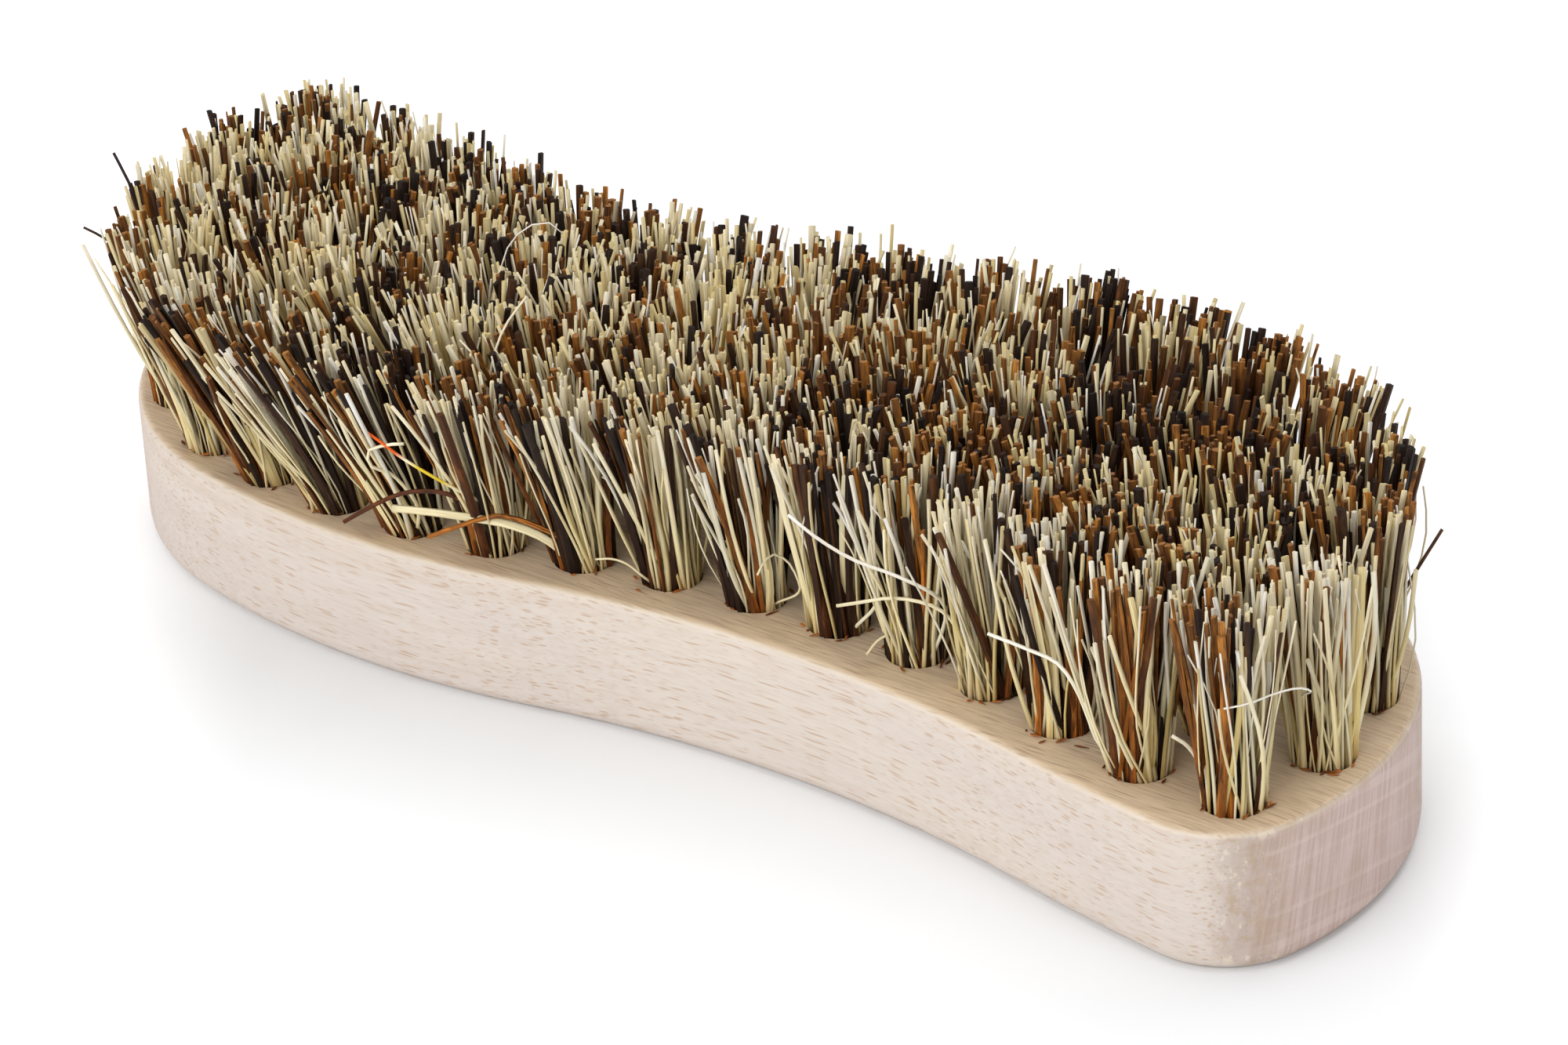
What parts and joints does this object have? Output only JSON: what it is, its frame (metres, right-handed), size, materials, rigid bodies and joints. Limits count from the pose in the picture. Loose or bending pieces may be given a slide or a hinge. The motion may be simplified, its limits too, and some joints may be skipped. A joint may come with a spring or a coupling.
{
  "type": "scrubbing brush",
  "caption": "S-shaped hand scrubbing brush: a flat beech block with two waists, set with stiff tufts of mixed plant fibre.",
  "frame": {"origin": "middle of the block's flat back, which the brush lies on", "axes": "+X along the block's length and grain, +Z from the back towards the bristle tips"},
  "size_m": [0.1986, 0.075, 0.0435],
  "materials": {
    "beech": "sanded, unfinished",
    "plant_fibre": "matte, mixed pale and dark fibres"
  },
  "bodies": {
    "root": {"beech_block": "beech", "edge_tuft_01": "plant_fibre", "edge_tuft_02": "plant_fibre", "edge_tuft_03": "plant_fibre", "edge_tuft_04": "plant_fibre", "edge_tuft_05": "plant_fibre", "edge_tuft_06": "plant_fibre", "edge_tuft_07": "plant_fibre", "edge_tuft_08": "plant_fibre", "edge_tuft_09": "plant_fibre", "edge_tuft_10": "plant_fibre", "edge_tuft_11": "plant_fibre", "edge_tuft_12": "plant_fibre", "edge_tuft_13": "plant_fibre", "edge_tuft_14": "plant_fibre", "edge_tuft_15": "plant_fibre", "edge_tuft_16": "plant_fibre", "edge_tuft_17": "plant_fibre", "edge_tuft_18": "plant_fibre", "edge_tuft_19": "plant_fibre", "edge_tuft_20": "plant_fibre", "edge_tuft_21": "plant_fibre", "edge_tuft_22": "plant_fibre", "edge_tuft_23": "plant_fibre", "edge_tuft_24": "plant_fibre", "edge_tuft_25": "plant_fibre", "edge_tuft_26": "plant_fibre", "edge_tuft_27": "plant_fibre", "edge_tuft_28": "plant_fibre", "edge_tuft_29": "plant_fibre", "edge_tuft_30": "plant_fibre", "edge_tuft_31": "plant_fibre", "edge_tuft_32": "plant_fibre", "edge_tuft_33": "plant_fibre", "edge_tuft_34": "plant_fibre", "inner_tuft_01": "plant_fibre", "inner_tuft_02": "plant_fibre", "inner_tuft_03": "plant_fibre", "inner_tuft_04": "plant_fibre", "inner_tuft_05": "plant_fibre", "inner_tuft_06": "plant_fibre", "inner_tuft_07": "plant_fibre", "inner_tuft_08": "plant_fibre", "inner_tuft_09": "plant_fibre", "inner_tuft_10": "plant_fibre", "inner_tuft_11": "plant_fibre", "inner_tuft_12": "plant_fibre", "inner_tuft_13": "plant_fibre", "inner_tuft_14": "plant_fibre", "inner_tuft_15": "plant_fibre", "inner_tuft_16": "plant_fibre", "inner_tuft_17": "plant_fibre", "inner_tuft_18": "plant_fibre", "inner_tuft_19": "plant_fibre", "inner_tuft_20": "plant_fibre", "inner_tuft_21": "plant_fibre", "inner_tuft_22": "plant_fibre", "inner_tuft_23": "plant_fibre", "inner_tuft_24": "plant_fibre"}
  },
  "joints": []
}
